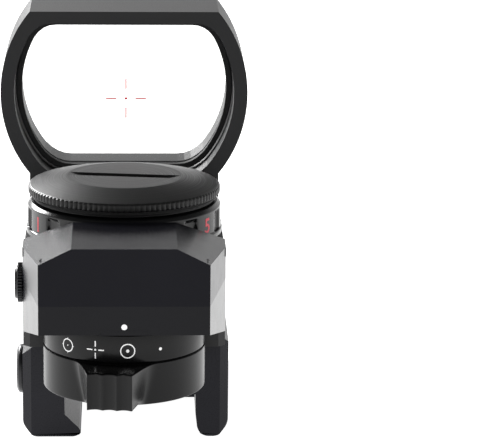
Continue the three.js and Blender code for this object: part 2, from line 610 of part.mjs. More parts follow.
// ---------------------------------------------------------------- reticle selector
function selectorDrum() {
  const topPlate = 1.1;
  let drum = turned([
    [SLEEVE_RADIUS + FIT, SELECTOR_TOP - topPlate],
    [SELECTOR_RADIUS - SELECTOR_WALL, SELECTOR_TOP - topPlate],
    [SELECTOR_RADIUS - SELECTOR_WALL, SELECTOR_SPLIT], [SELECTOR_RADIUS, SELECTOR_SPLIT],
    [SELECTOR_RADIUS, SELECTOR_TOP], [SLEEVE_RADIUS + FIT, SELECTOR_TOP],
  ], 0, SELECTOR_Y, 60);
  drum = cut(drum, ring(SELECTOR_BALL_PLACE - 0.7, SELECTOR_BALL_PLACE + 0.7, 0, SELECTOR_Y,
    SELECTOR_TOP - 0.5, SELECTOR_TOP + 1));
  for (const step of RETICLE_STEPS) {
    const [x, y] = polar(APERTURE_RADIUS, step * RETICLE_PITCH + Math.PI, 0, SELECTOR_Y);
    drum = cut(drum, post(1.1, x, y, SELECTOR_TOP - 3, SELECTOR_TOP + 1, 10));
  }
  return drum;
}
add("selector_drum", selectorDrum(), "coverBlack");

function reticleMask() {
  let mask = ring(SLEEVE_RADIUS + FIT, MASK_RADIUS, 0, SELECTOR_Y, SELECTOR_TOP,
    SELECTOR_TOP + MASK_THICK, 32);
  for (const step of RETICLE_STEPS) {
    const [x, y] = polar(APERTURE_RADIUS, step * RETICLE_PITCH + Math.PI, 0, SELECTOR_Y);
    mask = cut(mask, post(0.5, x, y, SELECTOR_TOP - 1, SELECTOR_TOP + 1, 8));
  }
  return mask;
}
add("reticle_mask", reticleMask(), "darkSteel");

function selectorGrip() {
  const bottomPlate = 1.2;
  const cup = turned([
    [SLEEVE_RADIUS + FIT, SELECTOR_BOTTOM], [SELECTOR_RADIUS - 0.6, SELECTOR_BOTTOM],
    [SELECTOR_RADIUS, SELECTOR_BOTTOM + 0.6],
    [SELECTOR_RADIUS, SELECTOR_SPLIT], [SELECTOR_RADIUS - SELECTOR_WALL, SELECTOR_SPLIT],
    [SELECTOR_RADIUS - SELECTOR_WALL, SELECTOR_BOTTOM + bottomPlate],
    [SLEEVE_RADIUS + FIT, SELECTOR_BOTTOM + bottomPlate],
  ], 0, 0, 60);
  const root = 0.2 - Math.sqrt(SELECTOR_RADIUS ** 2 - TAB_ROOT_HALF ** 2);
  const rear = -SELECTOR_RADIUS - TAB_REACH;
  const shoulder = rear + 0.9;
  const flare = [0, 0.25, 0.5, 0.75, 1].map((t) => [
    TAB_HALF + (TAB_ROOT_HALF - TAB_HALF) * (1 - t) ** 2, root + (shoulder - root) * t]);
  const fluted = [];
  for (let i = 0; i <= TAB_FLUTES * 4; i += 1) {
    const share = i / (TAB_FLUTES * 4);
    const hollow = Math.abs(Math.sin(share * TAB_FLUTES * Math.PI));
    fluted.push([-TAB_HALF + 2 * TAB_HALF * share, rear + FLUTE_DEPTH * hollow]);
  }
  const plan = [
    ...flare.map(([x, y]) => [-x, y]), ...fluted, ...flare.reverse(),
    [0, -SELECTOR_RADIUS + SELECTOR_WALL / 2],
  ];
  const tab = raised(plan, SELECTOR_BOTTOM + 0.6, SELECTOR_SPLIT);
  return join(cup, tab).rotate([0, 0, THREE.MathUtils.radToDeg(TAB_TURN)])
    .translate([0, SELECTOR_Y, 0]);
}
add("selector_grip", selectorGrip(), "coverBlack");

const SLEEVE_BOTTOM = SELECTOR_BOTTOM - 0.2;
add("pivot_sleeve", ring(PIVOT_RADIUS + FIT, SLEEVE_RADIUS, 0, SELECTOR_Y, SLEEVE_BOTTOM,
  POCKET_CEILING, 24), "brass");
add("pivot_screw", join(
  post(4.4, 0, SELECTOR_Y, SLEEVE_BOTTOM - 1.1, SLEEVE_BOTTOM, 24),
  post(PIVOT_RADIUS, 0, SELECTOR_Y, SLEEVE_BOTTOM - 0.5, SEAM - 1.3)), "darkSteel");
add("selector_detent_ball",
  ball(DIAL_BALL_RADIUS, 0, SELECTOR_Y - SELECTOR_BALL_PLACE, POCKET_CEILING - 0.25), "steel");
add("selector_detent_spring", ring(0.3, DIAL_BALL_RADIUS, 0, SELECTOR_Y - SELECTOR_BALL_PLACE,
  POCKET_CEILING + DIAL_BALL_RADIUS - 0.15, POCKET_CEILING + 2.6, 12), "steel");

// ---------------------------------------------------------------- light source
const BOARD_TOP = SELECTOR_TOP - 1.1 - 0.9;
const DIODE_HALF = 0.6;
function diodeBoard() {
  const arm = block(-1.8, 1.8, SELECTOR_Y, CARRIAGE_Y + DIODE_HALF + 0.4,
    BOARD_TOP - 0.8, BOARD_TOP);
  const plate = post(6, 0, SELECTOR_Y, BOARD_TOP - 0.8, BOARD_TOP, 24);
  return cut(join(plate, arm),
    post(SLEEVE_RADIUS + 0.1, 0, SELECTOR_Y, BOARD_TOP - 2, BOARD_TOP + 1, 24));
}
add("diode_board", diodeBoard(), "board");
for (const [name, x, finish] of [["red_diode", -0.75, "redDiode"], ["green_diode", 0.75, "greenDiode"]]) {
  add(name, block(x - 0.55, x + 0.55, CARRIAGE_Y - DIODE_HALF, CARRIAGE_Y + DIODE_HALF, BOARD_TOP,
    BOARD_TOP + 0.5), finish);
}

// ---------------------------------------------------------------- prism carriage, windage
function prismCarriage() {
  const [halfX, halfY, halfZ] = CARRIAGE_HALF;
  return cut(
    block(-halfX, halfX, CARRIAGE_Y - halfY, CARRIAGE_Y + halfY, DUCT_Z - halfZ, DUCT_Z + halfZ),
    block(-1.7, 1.7, CARRIAGE_Y - 1.5, CARRIAGE_Y + halfY + 1, DUCT_Z - halfZ - 1, DUCT_Z + 1.4),
    rodAlongX(ADJUSTER_RADIUS + FIT, -halfX - 1, CARRIAGE_BORE_END, CARRIAGE_Y, DUCT_Z));
}
add("prism_carriage", prismCarriage(), "darkSteel");
add("prism", drawnAlongX([
  [CARRIAGE_Y - 1.3, DUCT_Z - 1.5], [CARRIAGE_Y + 1.3, DUCT_Z - 1.5],
  [CARRIAGE_Y + 1.3, DUCT_Z + 1.1],
], -1.4, 1.4), "glass");

function windageScrew() {
  const face = -BODY_HALF - FIT;
  const head = join(
    rodAlongX(2.95, face - 0.55, face, CARRIAGE_Y, DUCT_Z, 32),
    rodAlongX(2.4, face - 1.0, face - 0.4, CARRIAGE_Y, DUCT_Z, 32));
  const slot = block(face - 1.2, face - 0.6, CARRIAGE_Y - 1.9, CARRIAGE_Y + 1.9,
    DUCT_Z - 0.3, DUCT_Z + 0.3);
  return join(cut(head, slot),
    rodAlongX(ADJUSTER_RADIUS, face - 0.1, CARRIAGE_BORE_END - CARRIAGE_TRAVEL - FIT,
      CARRIAGE_Y, DUCT_Z));
}
add("windage_screw", windageScrew(), "darkSteel");

// ---------------------------------------------------------------- mirror block, elevation
const MIRROR_REAR = WELL_REAR + FIT;
const MIRROR_FRONT = WELL_FRONT - FIT;
const MIRROR_FLOOR = DUCT_Z - 4.4 + MIRROR_TRAVEL + FIT;
function mirrorBlock() {
  const wedge = drawnAlongX([
    [MIRROR_REAR, MIRROR_FLOOR], [MIRROR_FRONT, MIRROR_FLOOR], [MIRROR_FRONT, DUCT_Z + 1.2],
    [MIRROR_FRONT - 0.6, DUCT_Z + 1.2], [MIRROR_REAR, MIRROR_FLOOR + 1.2],
  ], -MIRROR_HALF, MIRROR_HALF);
  const lug = block(MIRROR_HALF - 0.5, ELEVATION_X + 2.4, MIRROR_REAR, MIRROR_FRONT,
    MIRROR_FLOOR, DUCT_Z - 0.2);
  return cut(join(wedge, lug),
    post(ADJUSTER_RADIUS + FIT, ELEVATION_X, WELL_Y, MIRROR_FLOOR - 1, DUCT_Z + 1));
}
add("mirror_block", mirrorBlock(), "darkSteel");

function foldMirror() {
  const rise = (DUCT_Z - MIRROR_FLOOR) / (MIRROR_FRONT - 0.6 - MIRROR_REAR);
  const lift = 0.15;
  const thick = 0.5;
  const from = MIRROR_REAR + 0.3;
  const to = MIRROR_FRONT - 1.0;
  const under = (y) => MIRROR_FLOOR + 1.2 + rise * (y - MIRROR_REAR) + lift;
  return drawnAlongX([
    [from, under(from)], [to, under(to)], [to, under(to) + thick], [from, under(from) + thick],
  ], -MIRROR_HALF + 0.8, MIRROR_HALF - 0.8);
}
add("fold_mirror", foldMirror(), "steel");

add("beam_window", block(-MIRROR_HALF + 0.2, MIRROR_HALF - 0.2, WELL_REAR + 0.2,
  WELL_FRONT - 0.2, DECK - GLASS_THICK, DECK), "glass");

function elevationScrew() {
  const face = DECK + FIT;
  const head = cut(post(2.5, ELEVATION_X, WELL_Y, face, face + 1.1, 24),
    block(ELEVATION_X - 1.8, ELEVATION_X + 1.8, WELL_Y - 0.3, WELL_Y + 0.3, face + 0.6, face + 2));
  return join(head, post(ADJUSTER_RADIUS, ELEVATION_X, WELL_Y, MIRROR_FLOOR + 0.6, face + 0.2));
}
add("elevation_screw", elevationScrew(), "darkSteel");

// ---------------------------------------------------------------- rail clamp
function hookPoints(side, shift) {
  const tipX = side * (RAIL_NECK_HALF + RAIL_GAP + 0.1) + shift;
  const grooveX = side * (RAIL_HALF + RAIL_GAP) + shift;
  const tipDrop = RAIL_EDGE_DROP + Math.abs(grooveX - tipX);
  return [[grooveX, -RAIL_EDGE_DROP], [tipX, -tipDrop], [tipX + side * 0.7, -JAW_DROP]];
}

const FIXED_OUTER = SEAT_HALF_RIGHT + JAW_WALL;

function clampBase() {
  const outer = [
    [FIXED_OUTER - JAW_CHAMFER, -JAW_DROP], [FIXED_OUTER, -JAW_DROP + JAW_CHAMFER],
    [FIXED_OUTER, BODY_FLOOR - JAW_CHAMFER], [FIXED_OUTER - JAW_CHAMFER, BODY_FLOOR],
    [-BODY_HALF, BODY_FLOOR], [-BODY_HALF, JAW_TOP + FIT], [BASE_LEFT, JAW_TOP + FIT],
    [BASE_LEFT, 0],
  ];
  const hooked = [[SEAT_HALF_RIGHT, 0], ...hookPoints(1, 0)];
  const plain = [[SEAT_HALF_RIGHT, 0], [SEAT_HALF_RIGHT, -RAIL_EDGE_DROP],
    [SEAT_HALF_RIGHT + 0.3, -JAW_DROP + 0.9], [SEAT_HALF_RIGHT + 1.2, -JAW_DROP]];
  const hookRear = SEAT_FRONT - HOOK_LENGTH;
  let base = join(
    drawnAlongY([...outer, ...hooked], hookRear, SEAT_FRONT),
    drawnAlongY([...outer, ...plain], SEAT_REAR, hookRear));
  base = cut(base,
    rodAlongX(CLAMP_RADIUS + FIT, BASE_LEFT - 1, FIXED_OUTER + 1, CLAMP_Y, CLAMP_Z, 24),
    post(SELECTOR_CLEAR, 0, SELECTOR_Y, -1, BODY_FLOOR + 1, ROUND));
  for (const [x, y] of BASE_SCREW_PLACES) {
    base = cut(base, post(1.2 + FIT, x, y, -1, BODY_FLOOR + 1), post(2.3 + 0.2, x, y, -1, 2.6));
  }
  for (const y of GUIDE_PIN_PLACES) {
    base = cut(base, rodAlongX(GUIDE_PIN_RADIUS + FIT, BASE_LEFT - 1, BASE_LEFT + 3, y, GUIDE_PIN_Z));
  }
  return base;
}
add("clamp_base", clampBase(), "castBlack");

for (const [index, [x, y]] of BASE_SCREW_PLACES.entries()) {
  const head = cut(post(2.3, x, y, 0.5, 2.6), post(1.1, x, y, 0, 1.6, 6));
  add(`base_screw_${index + 1}`, join(head, post(1.2, x, y, 2.2, BODY_FLOOR + 3.2)), "darkSteel");
}

function movableJaw() {
  const [, tip, foot] = hookPoints(-1, JAW_CLOSED_EXTRA);
  const section = [
    [-JAW_OUTER + JAW_CHAMFER, JAW_TOP], [JAW_GROOVE, JAW_TOP],
    [JAW_GROOVE, -RAIL_EDGE_DROP], tip, foot,
    [-JAW_OUTER + JAW_CHAMFER, -JAW_DROP], [-JAW_OUTER, -JAW_DROP + JAW_CHAMFER],
    [-JAW_OUTER, JAW_TOP - JAW_CHAMFER],
  ].reverse();
  let jaw = cut(
    drawnAlongY(section, SEAT_REAR, SEAT_FRONT),
    rodAlongX(CLAMP_RADIUS + FIT, -JAW_OUTER - 1, JAW_GROOVE + 1, CLAMP_Y, CLAMP_Z, 24));
  for (const y of GUIDE_PIN_PLACES) {
    jaw = cut(jaw, rodAlongX(GUIDE_PIN_RADIUS + FIT, -JAW_OUTER + 0.6, JAW_GROOVE + 1, y,
      GUIDE_PIN_Z));
  }
  return jaw;
}
add("movable_jaw", movableJaw(), "castBlack");

for (const [name, y] of [
  ["guide_pin_rear", GUIDE_PIN_PLACES[0]], ["guide_pin_front", GUIDE_PIN_PLACES[1]]]) {
  add(name, rodAlongX(GUIDE_PIN_RADIUS, -JAW_OUTER + 1.2, BASE_LEFT + 2.7, y, GUIDE_PIN_Z), "steel");
}

function clampScrew() {
  const face = -JAW_OUTER - 0.1;
  const head = join(
    rodAlongX(CLAMP_HEAD_RADIUS, face - CLAMP_HEAD + 0.4, face, CLAMP_Y, CLAMP_Z, 32),
    rodAlongX(CLAMP_HEAD_RADIUS - 0.5, face - CLAMP_HEAD, face - 0.3, CLAMP_Y, CLAMP_Z, 32));
  const slot = block(face - CLAMP_HEAD - 1, face - CLAMP_HEAD + 0.7, CLAMP_Y - 2.8, CLAMP_Y + 2.8,
    CLAMP_Z - 0.5, CLAMP_Z + 0.5);
  return join(cut(head, slot),
    rodAlongX(CLAMP_RADIUS, face - 0.1, FIXED_OUTER - 0.1, CLAMP_Y, CLAMP_Z, 24));
}
add("clamp_screw", clampScrew(), "darkSteel");

export default sight;
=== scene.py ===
# Reflex red dot finder: the surfaces, markings and finishes that go round its CAD frame.
# Shapes are modelled in millimetres, in the frame's own axes, and become metres when finished.
import math

import bmesh
import bpy
from mathutils import Matrix, Vector


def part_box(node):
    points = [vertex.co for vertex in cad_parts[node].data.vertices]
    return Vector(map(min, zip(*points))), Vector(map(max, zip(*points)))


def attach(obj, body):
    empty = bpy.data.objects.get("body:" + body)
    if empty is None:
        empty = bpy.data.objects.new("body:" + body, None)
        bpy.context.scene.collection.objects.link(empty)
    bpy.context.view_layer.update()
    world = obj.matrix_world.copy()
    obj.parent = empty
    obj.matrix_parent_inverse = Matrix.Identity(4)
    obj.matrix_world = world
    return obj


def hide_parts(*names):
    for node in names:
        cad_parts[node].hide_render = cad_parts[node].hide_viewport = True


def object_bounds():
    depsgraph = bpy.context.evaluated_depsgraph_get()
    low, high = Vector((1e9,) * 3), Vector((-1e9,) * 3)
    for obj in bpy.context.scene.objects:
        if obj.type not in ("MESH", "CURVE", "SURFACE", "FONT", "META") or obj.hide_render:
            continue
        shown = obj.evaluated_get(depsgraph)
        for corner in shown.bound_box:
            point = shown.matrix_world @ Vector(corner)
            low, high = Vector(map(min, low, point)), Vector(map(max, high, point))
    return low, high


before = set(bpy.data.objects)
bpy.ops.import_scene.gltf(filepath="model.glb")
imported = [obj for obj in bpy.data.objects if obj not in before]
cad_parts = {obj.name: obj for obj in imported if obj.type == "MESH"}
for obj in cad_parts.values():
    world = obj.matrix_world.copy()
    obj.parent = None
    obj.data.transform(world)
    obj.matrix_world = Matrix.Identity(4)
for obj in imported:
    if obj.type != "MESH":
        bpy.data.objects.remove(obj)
cad_low, cad_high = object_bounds()
scene = bpy.context.scene
MM = 0.001


# ---------------------------------------------------------------- places, from the frame
def box_mm(node):
    """Lowest and highest corner of a CAD node, in millimetres."""
    low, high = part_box(node)
    return low / MM, high / MM


def middle(node):
    """Middle of a CAD node's box, in millimetres."""
    low, high = box_mm(node)
    return (low + high) / 2


def radius_of(node):
    """Radius of an upright round CAD node, in millimetres."""
    low, high = box_mm(node)
    return (high.x - low.x) / 2


# ---------------------------------------------------------------- shaping helpers
def profile_wire(bm, points):
    """A wire of (radius, height) points in the XZ plane, for turning about Z."""
    verts = [bm.verts.new((radius, 0, height)) for radius, height in points]
    for first, second in zip(verts, verts[1:]):
        bm.edges.new((first, second))
    return verts


def turned(points, steps, closed=False):
    """A solid of revolution about Z from a profile of (radius, height) points."""
    bm = bmesh.new()
    verts = profile_wire(bm, points)
    if closed:
        bm.edges.new((verts[-1], verts[0]))
    bmesh.ops.spin(bm, geom=bm.verts[:] + bm.edges[:], cent=(0, 0, 0), axis=(0, 0, 1),
                   angle=math.tau, steps=steps, use_merge=True)
    bmesh.ops.remove_doubles(bm, verts=bm.verts, dist=1e-4)
    bmesh.ops.recalc_face_normals(bm, faces=bm.faces)
    return bm


def rounded(points, radius, steps=4):
    """The same profile with each inner corner replaced by a small arc of about that radius."""
    result = [points[0]]
    for before, corner, after in zip(points, points[1:], points[2:]):
        here = Vector(corner)
        to_before, to_after = Vector(before) - here, Vector(after) - here
        reach = min(radius, to_before.length * 0.45, to_after.length * 0.45)
        start = here + to_before.normalized() * reach
        end = here + to_after.normalized() * reach
        for i in range(steps + 1):
            t = i / steps
            result.append(tuple(start * (1 - t) ** 2 + here * 2 * t * (1 - t) + end * t ** 2))
    result.append(points[-1])
    return result


def move(bm, offset):
    bmesh.ops.translate(bm, vec=Vector(offset), verts=bm.verts)
    return bm


def turn(bm, degrees, axis):
    bmesh.ops.rotate(bm, cent=(0, 0, 0), matrix=Matrix.Rotation(math.radians(degrees), 3, axis),
                     verts=bm.verts)
    return bm


def pointing_left(bm):
    """Turns a shape drawn about Z so that its top faces -X."""
    return turn(bm, -90, "Y")


def rounded_edges(bm, edges, width, segments, clamp_overlap=True):
    """Bevels the given edges."""
    bmesh.ops.bevel(bm, geom=edges, offset=width, offset_type="OFFSET", segments=segments,
                    profile=0.5, affect="EDGES", material=-1, clamp_overlap=clamp_overlap)
    return bm


SHARP_ANGLE = math.radians(28)


def bevel_sharp(bm, width, segments=2, shortest=0.0):
    """Rounds the edges that turn more sharply than SHARP_ANGLE and are not too short."""
    sharp = [edge for edge in bm.edges
             if edge.is_manifold and edge.calc_length() > shortest
             and edge.calc_face_angle(0) > SHARP_ANGLE]
    return rounded_edges(bm, sharp, width, segments)


MERGE_DISTANCE = 0.004
COPLANAR_ANGLE = math.radians(0.6)


def copy_of(node):
    """The CAD node's own solid in millimetres, merged into clean flat faces."""
    bm = bmesh.new()
    bm.from_mesh(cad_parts[node].data)
    bmesh.ops.scale(bm, vec=(1 / MM,) * 3, verts=bm.verts)
    bmesh.ops.remove_doubles(bm, verts=bm.verts, dist=MERGE_DISTANCE)
    bmesh.ops.dissolve_limit(bm, angle_limit=COPLANAR_ANGLE, verts=bm.verts, edges=bm.edges)
    return bm


def box_shape(low, high):
    """A box between two corners."""
    bm = bmesh.new()
    bmesh.ops.create_cube(bm, size=1)
    low, high = Vector(low), Vector(high)
    bmesh.ops.scale(bm, vec=high - low, verts=bm.verts)
    return move(bm, (low + high) / 2)


def merged(*shapes):
    """Several shapes as one mesh."""
    whole = bmesh.new()
    for shape in shapes:
        part = bpy.data.meshes.new("part")
        shape.to_mesh(part)
        shape.free()
        whole.from_mesh(part)
        bpy.data.meshes.remove(part)
    return whole


FLAT_AREA = 5.0  # faces larger than this, in square millimetres, are shaded flat


def finished(name, bm, body, material, replaces=(), smooth=32):
    """Makes the shape a piece: metres, its finish, its body and the CAD nodes it stands for."""
    bmesh.ops.scale(bm, vec=(MM,) * 3, verts=bm.verts)
    mesh = bpy.data.meshes.new(name)
    bm.to_mesh(mesh)
    bm.free()
    mesh.materials.clear()
    mesh.materials.append(material)
    mesh.shade_smooth()
    mesh.set_sharp_from_angle(angle=math.radians(smooth))
    for face in mesh.polygons:
        if face.area > FLAT_AREA * MM * MM:
            face.use_smooth = False
    piece = bpy.data.objects.new(name, mesh)
    scene.collection.objects.link(piece)
    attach(piece, body)
    if replaces:
        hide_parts(*replaces)
    return piece


def cut_from(piece, cutter):
    """Takes the cutter's shape, in millimetres, out of a finished piece."""
    bmesh.ops.scale(cutter, vec=(MM,) * 3, verts=cutter.verts)
    mesh = bpy.data.meshes.new("cutter")
    cutter.to_mesh(mesh)
    cutter.free()
    tool = bpy.data.objects.new("cutter", mesh)
    scene.collection.objects.link(tool)
    modifier = piece.modifiers.new("cut", "BOOLEAN")
    modifier.operation = "DIFFERENCE"
    modifier.solver = "EXACT"
    modifier.object = tool
    bpy.context.view_layer.update()
    shown = piece.evaluated_get(bpy.context.evaluated_depsgraph_get())
    result = bpy.data.meshes.new_from_object(shown)
    piece.modifiers.clear()
    old = piece.data
    piece.data = result
    result.name = piece.name
    bpy.data.meshes.remove(old)
    bpy.data.objects.remove(tool)


# ---------------------------------------------------------------- materials
def to_linear(hex_colour):
    """An sRGB hex colour such as "1f1f21" as linear RGBA."""
    values = [int(hex_colour[i:i + 2], 16) / 255 for i in (0, 2, 4)]
    return (*[v / 12.92 if v <= 0.04045 else ((v + 0.055) / 1.055) ** 2.4 for v in values], 1.0)


def add_node(tree, kind, inputs=None, **settings):
    """Adds a node; an input is either a value or another node's output to link."""
    node = tree.nodes.new(kind)
    for name, value in settings.items():
        setattr(node, name, value)
    for socket, value in (inputs or {}).items():
        if isinstance(value, bpy.types.NodeSocket):
            tree.links.new(value, node.inputs[socket])
        else:
            node.inputs[socket].default_value = value
    return node


def shader(name, **constants):
    """A new material with one Principled shader, whose constants sit on its own sockets."""
    material = bpy.data.materials.new(name)
    material.use_nodes = True
    tree = material.node_tree
    tree.nodes.clear()
    surface = add_node(tree, "ShaderNodeBsdfPrincipled",
                       {name.replace("_", " "): value for name, value in constants.items()})
    add_node(tree, "ShaderNodeOutputMaterial", {"Surface": surface.outputs["BSDF"]})
    return material, tree, surface


def grain(tree, size_mm, detail=2.0):
    """Noise whose blobs are about that many millimetres across."""
    place = add_node(tree, "ShaderNodeTexCoord").outputs["Object"]
    noise = add_node(tree, "ShaderNodeTexNoise",
                     {"Vector": place, "Scale": 1 / (size_mm * MM), "Detail": detail})
    return noise.outputs["Fac"]


def between(tree, factor, low, high):
    """A number that follows the factor from low to high."""
    return add_node(tree, "ShaderNodeMapRange",
                    {"Value": factor, "From Min": 0.3, "From Max": 0.7,
                     "To Min": low, "To Max": high}).outputs["Result"]


def tinted(tree, factor, dark, light):
    """A colour that follows the factor from one hex colour to another."""
    mix = add_node(tree, "ShaderNodeMix", {"Factor": factor}, data_type="RGBA")
    mix.inputs["A"].default_value = to_linear(dark)
    mix.inputs["B"].default_value = to_linear(light)
    return mix.outputs["Result"]


def relief(tree, surface, height, depth_mm):
    """Fine relief of that depth on the surface."""
    bump = add_node(tree, "ShaderNodeBump",
                    {"Height": height, "Distance": depth_mm * MM, "Strength": 1.0})
    tree.links.new(bump.outputs["Normal"], surface.inputs["Normal"])


def bead_blasted_anodised(name, dark, light, roughness, ior):
    """Black anodised aluminium over bead blasting: matte close to, with a pale sheen edge-on.

    The grit is drawn a little coarser than real, so that it shows.
    """
    material, tree, surface = shader(name, Metallic=0.0, IOR=ior)
    blotches = grain(tree, 4.0)
    grit = grain(tree, 0.16, 3.0)
    tree.links.new(tinted(tree, blotches, dark, light), surface.inputs["Base Color"])
    tree.links.new(between(tree, grit, roughness - 0.05, roughness + 0.05),
                   surface.inputs["Roughness"])
    relief(tree, surface, grit, 0.006)
    return material


def satin_paint(name, dark, light, roughness, ior):
    """Sprayed satin black paint: smooth, with the faintest change of sheen over it."""
    material, tree, surface = shader(name, Metallic=0.0, IOR=ior)
    peel = grain(tree, 3.0, 1.0)
    tree.links.new(tinted(tree, grain(tree, 6.0), dark, light), surface.inputs["Base Color"])
    tree.links.new(between(tree, peel, roughness - 0.01, roughness + 0.01),
                   surface.inputs["Roughness"])
    return material


LATHE_PITCH = 0.22  # coarser than a real lathe mark, so that it shows


def turned_anodised(name, node, dark, light, roughness):
    """Black anodised over lathe marks: rings round the axis spread the light into wedges."""
    material, tree, surface = shader(name, Metallic=0.55, IOR=1.5)
    centre = middle(node) * MM
    place = add_node(tree, "ShaderNodeTexCoord").outputs["Object"]
    flat = add_node(tree, "ShaderNodeMapping",
                    {"Vector": place, "Location": (-centre.x, -centre.y, 0),
                     "Scale": (1, 1, 0)}).outputs["Vector"]
    reach = add_node(tree, "ShaderNodeVectorMath", {0: flat}, operation="LENGTH").outputs["Value"]
    turns = add_node(tree, "ShaderNodeMath", {0: reach, 1: 1 / (LATHE_PITCH * MM)},
                     operation="MULTIPLY").outputs["Value"]
    rings = add_node(tree, "ShaderNodeTexNoise",
                     {"W": turns, "Scale": 1.0, "Detail": 3.0},
                     noise_dimensions="1D").outputs["Fac"]
    tree.links.new(tinted(tree, rings, dark, light), surface.inputs["Base Color"])
    tree.links.new(between(tree, rings, roughness - 0.06, roughness + 0.08),
                   surface.inputs["Roughness"])
    relief(tree, surface, rings, 0.006)
    return material


def moulded_plastic(name, dark, light, roughness):
    """Injection-moulded black plastic: even, with a slight gloss."""
    material, tree, surface = shader(name, Metallic=0.0, IOR=1.42)
    flow = grain(tree, 1.2, 2.0)
    tree.links.new(tinted(tree, flow, dark, light), surface.inputs["Base Color"])
    tree.links.new(between(tree, flow, roughness - 0.03, roughness + 0.04),
                   surface.inputs["Roughness"])
    relief(tree, surface, grain(tree, 0.3), 0.001)
    return material


def black_rubber(name):
    """Nitrile rubber: dull and slightly dusty."""
    material, tree, surface = shader(name, Metallic=0.0, IOR=1.5)
    dust = grain(tree, 0.25, 4.0)
    tree.links.new(tinted(tree, dust, "060607", "111112"), surface.inputs["Base Color"])
    tree.links.new(between(tree, dust, 0.62, 0.8), surface.inputs["Roughness"])
    relief(tree, surface, dust, 0.004)
    return material


def bare_metal(name, dark, light, roughness):
    """Turned or rolled metal with fine tool marks."""
    material, tree, surface = shader(name, Metallic=1.0)
    marks = grain(tree, 0.12, 3.0)
    tree.links.new(tinted(tree, marks, dark, light), surface.inputs["Base Color"])
    tree.links.new(between(tree, marks, roughness - 0.06, roughness + 0.08),
                   surface.inputs["Roughness"])
    relief(tree, surface, marks, 0.001)
    return material


def black_oxide(name):
    """Black oxide steel: dark, a little oily, brighter where fingers rub it."""
    material, tree, surface = shader(name, Metallic=0.35, IOR=1.5)
    rub = grain(tree, 1.5, 3.0)
    tree.links.new(tinted(tree, rub, "131315", "232326"), surface.inputs["Base Color"])
    tree.links.new(between(tree, rub, 0.24, 0.36), surface.inputs["Roughness"])
    relief(tree, surface, grain(tree, 0.15), 0.002)
    return material


def printed_ink_painted_glow(name, dark, light, glow=0.0):
    """Pad-printed ink: flat colour with slight thinning. A glow above zero adds a painted glow:
    the ink gives off light in its own light colour, though it is no lamp.
    """
    material, tree, surface = shader(name, Metallic=0.0, Roughness=0.5)
    thin = grain(tree, 0.2, 2.0)
    tree.links.new(tinted(tree, thin, dark, light), surface.inputs["Base Color"])
    relief(tree, surface, thin, 0.001)
    # painted glow: emission in the ink's light colour, so the print shines as if lit
    if glow:
        surface.inputs["Emission Color"].default_value = to_linear(light)
        surface.inputs["Emission Strength"].default_value = glow
    return material


def coated_lens(name):
    """Clear glass with an anti-reflection coating, so faint that it hardly shows face-on."""
    material, tree, surface = shader(name, Metallic=0.0, Roughness=0.02, IOR=1.3, Alpha=0.045)
    smear = grain(tree, 3.0, 1.0)
    tree.links.new(tinted(tree, smear, "f2f6f8", "ffffff"), surface.inputs["Base Color"])
    return material


def circuit_board(name):
    """Glass-fibre board under green solder mask, with a faint weave."""
    material, tree, surface = shader(name, Metallic=0.0, Roughness=0.42, IOR=1.5)
    weave = grain(tree, 0.4, 2.0)
    tree.links.new(tinted(tree, weave, "134a26", "1f6a38"), surface.inputs["Base Color"])
    relief(tree, surface, weave, 0.004)
    return material


def tinted_epoxy(name, dark, light):
    """Cast epoxy of a small light-emitting diode."""
    material, tree, surface = shader(name, Metallic=0.0, Roughness=0.12, IOR=1.54)
    haze = grain(tree, 0.4, 1.0)
    tree.links.new(tinted(tree, haze, dark, light), surface.inputs["Base Color"])
    return material


BLASTED = bead_blasted_anodised("bead_blasted_anodised_aluminium", "141415", "18181a", 0.44, 1.38)
CLAMP_FINISH = bead_blasted_anodised("anodised_clamp_aluminium", "17171c", "1b1b21", 0.3, 1.25)
COWL_PAINT = satin_paint("satin_painted_cowl", "131318", "16161c", 0.24, 1.18)
UNDER_COWL_PAINT = satin_paint("satin_painted_under_cowl", "0c0c10", "101015", 0.2, 1.25)
SELECTOR_PAINT = satin_paint("satin_painted_selector", "070708", "0a0a0b", 0.24, 1.32)
CAP_FINISH = turned_anodised("turned_anodised_cap", "battery_cap", "1e1e1e", "2a2a2a", 0.36)
DIAL_PLASTIC = moulded_plastic("moulded_dial_plastic", "0e0e0f", "131415", 0.2)
HUB_PLASTIC = moulded_plastic("moulded_hub_plastic", "101011", "161618", 0.45)
RUBBER = black_rubber("nitrile_rubber")
STEEL = bare_metal("bright_steel", "8d8f93", "b5b7bb", 0.28)
BRASS = bare_metal("spring_brass", "9a7638", "c2a05a", 0.32)
SILVERED = bare_metal("silvered_glass", "d8d9da", "eeeeee", 0.08)
OXIDE = black_oxide("black_oxide_steel")
# the white, red and green inks carry a painted glow on top of their printed colour
WHITE_INK_PAINTED_GLOW = printed_ink_painted_glow("white_ink_painted_glow", "e6e6e6", "f6f6f6", 0.25)
RED_INK_PAINTED_GLOW = printed_ink_painted_glow("red_ink_painted_glow", "b02a3a", "cf3848", 0.12)
GREEN_INK_PAINTED_GLOW = printed_ink_painted_glow("green_ink_painted_glow", "2b9a46", "3ab356", 0.08)
RETICLE_LIGHT = printed_ink_painted_glow("projected_red_light", "b01828", "c02030", 0.3)
GLASS = coated_lens("coated_optical_glass")
BOARD = circuit_board("solder_masked_board")
RED_EPOXY = tinted_epoxy("red_diode_epoxy", "8c0f14", "b81e24")
GREEN_EPOXY = tinted_epoxy("green_diode_epoxy", "12702a", "259a40")


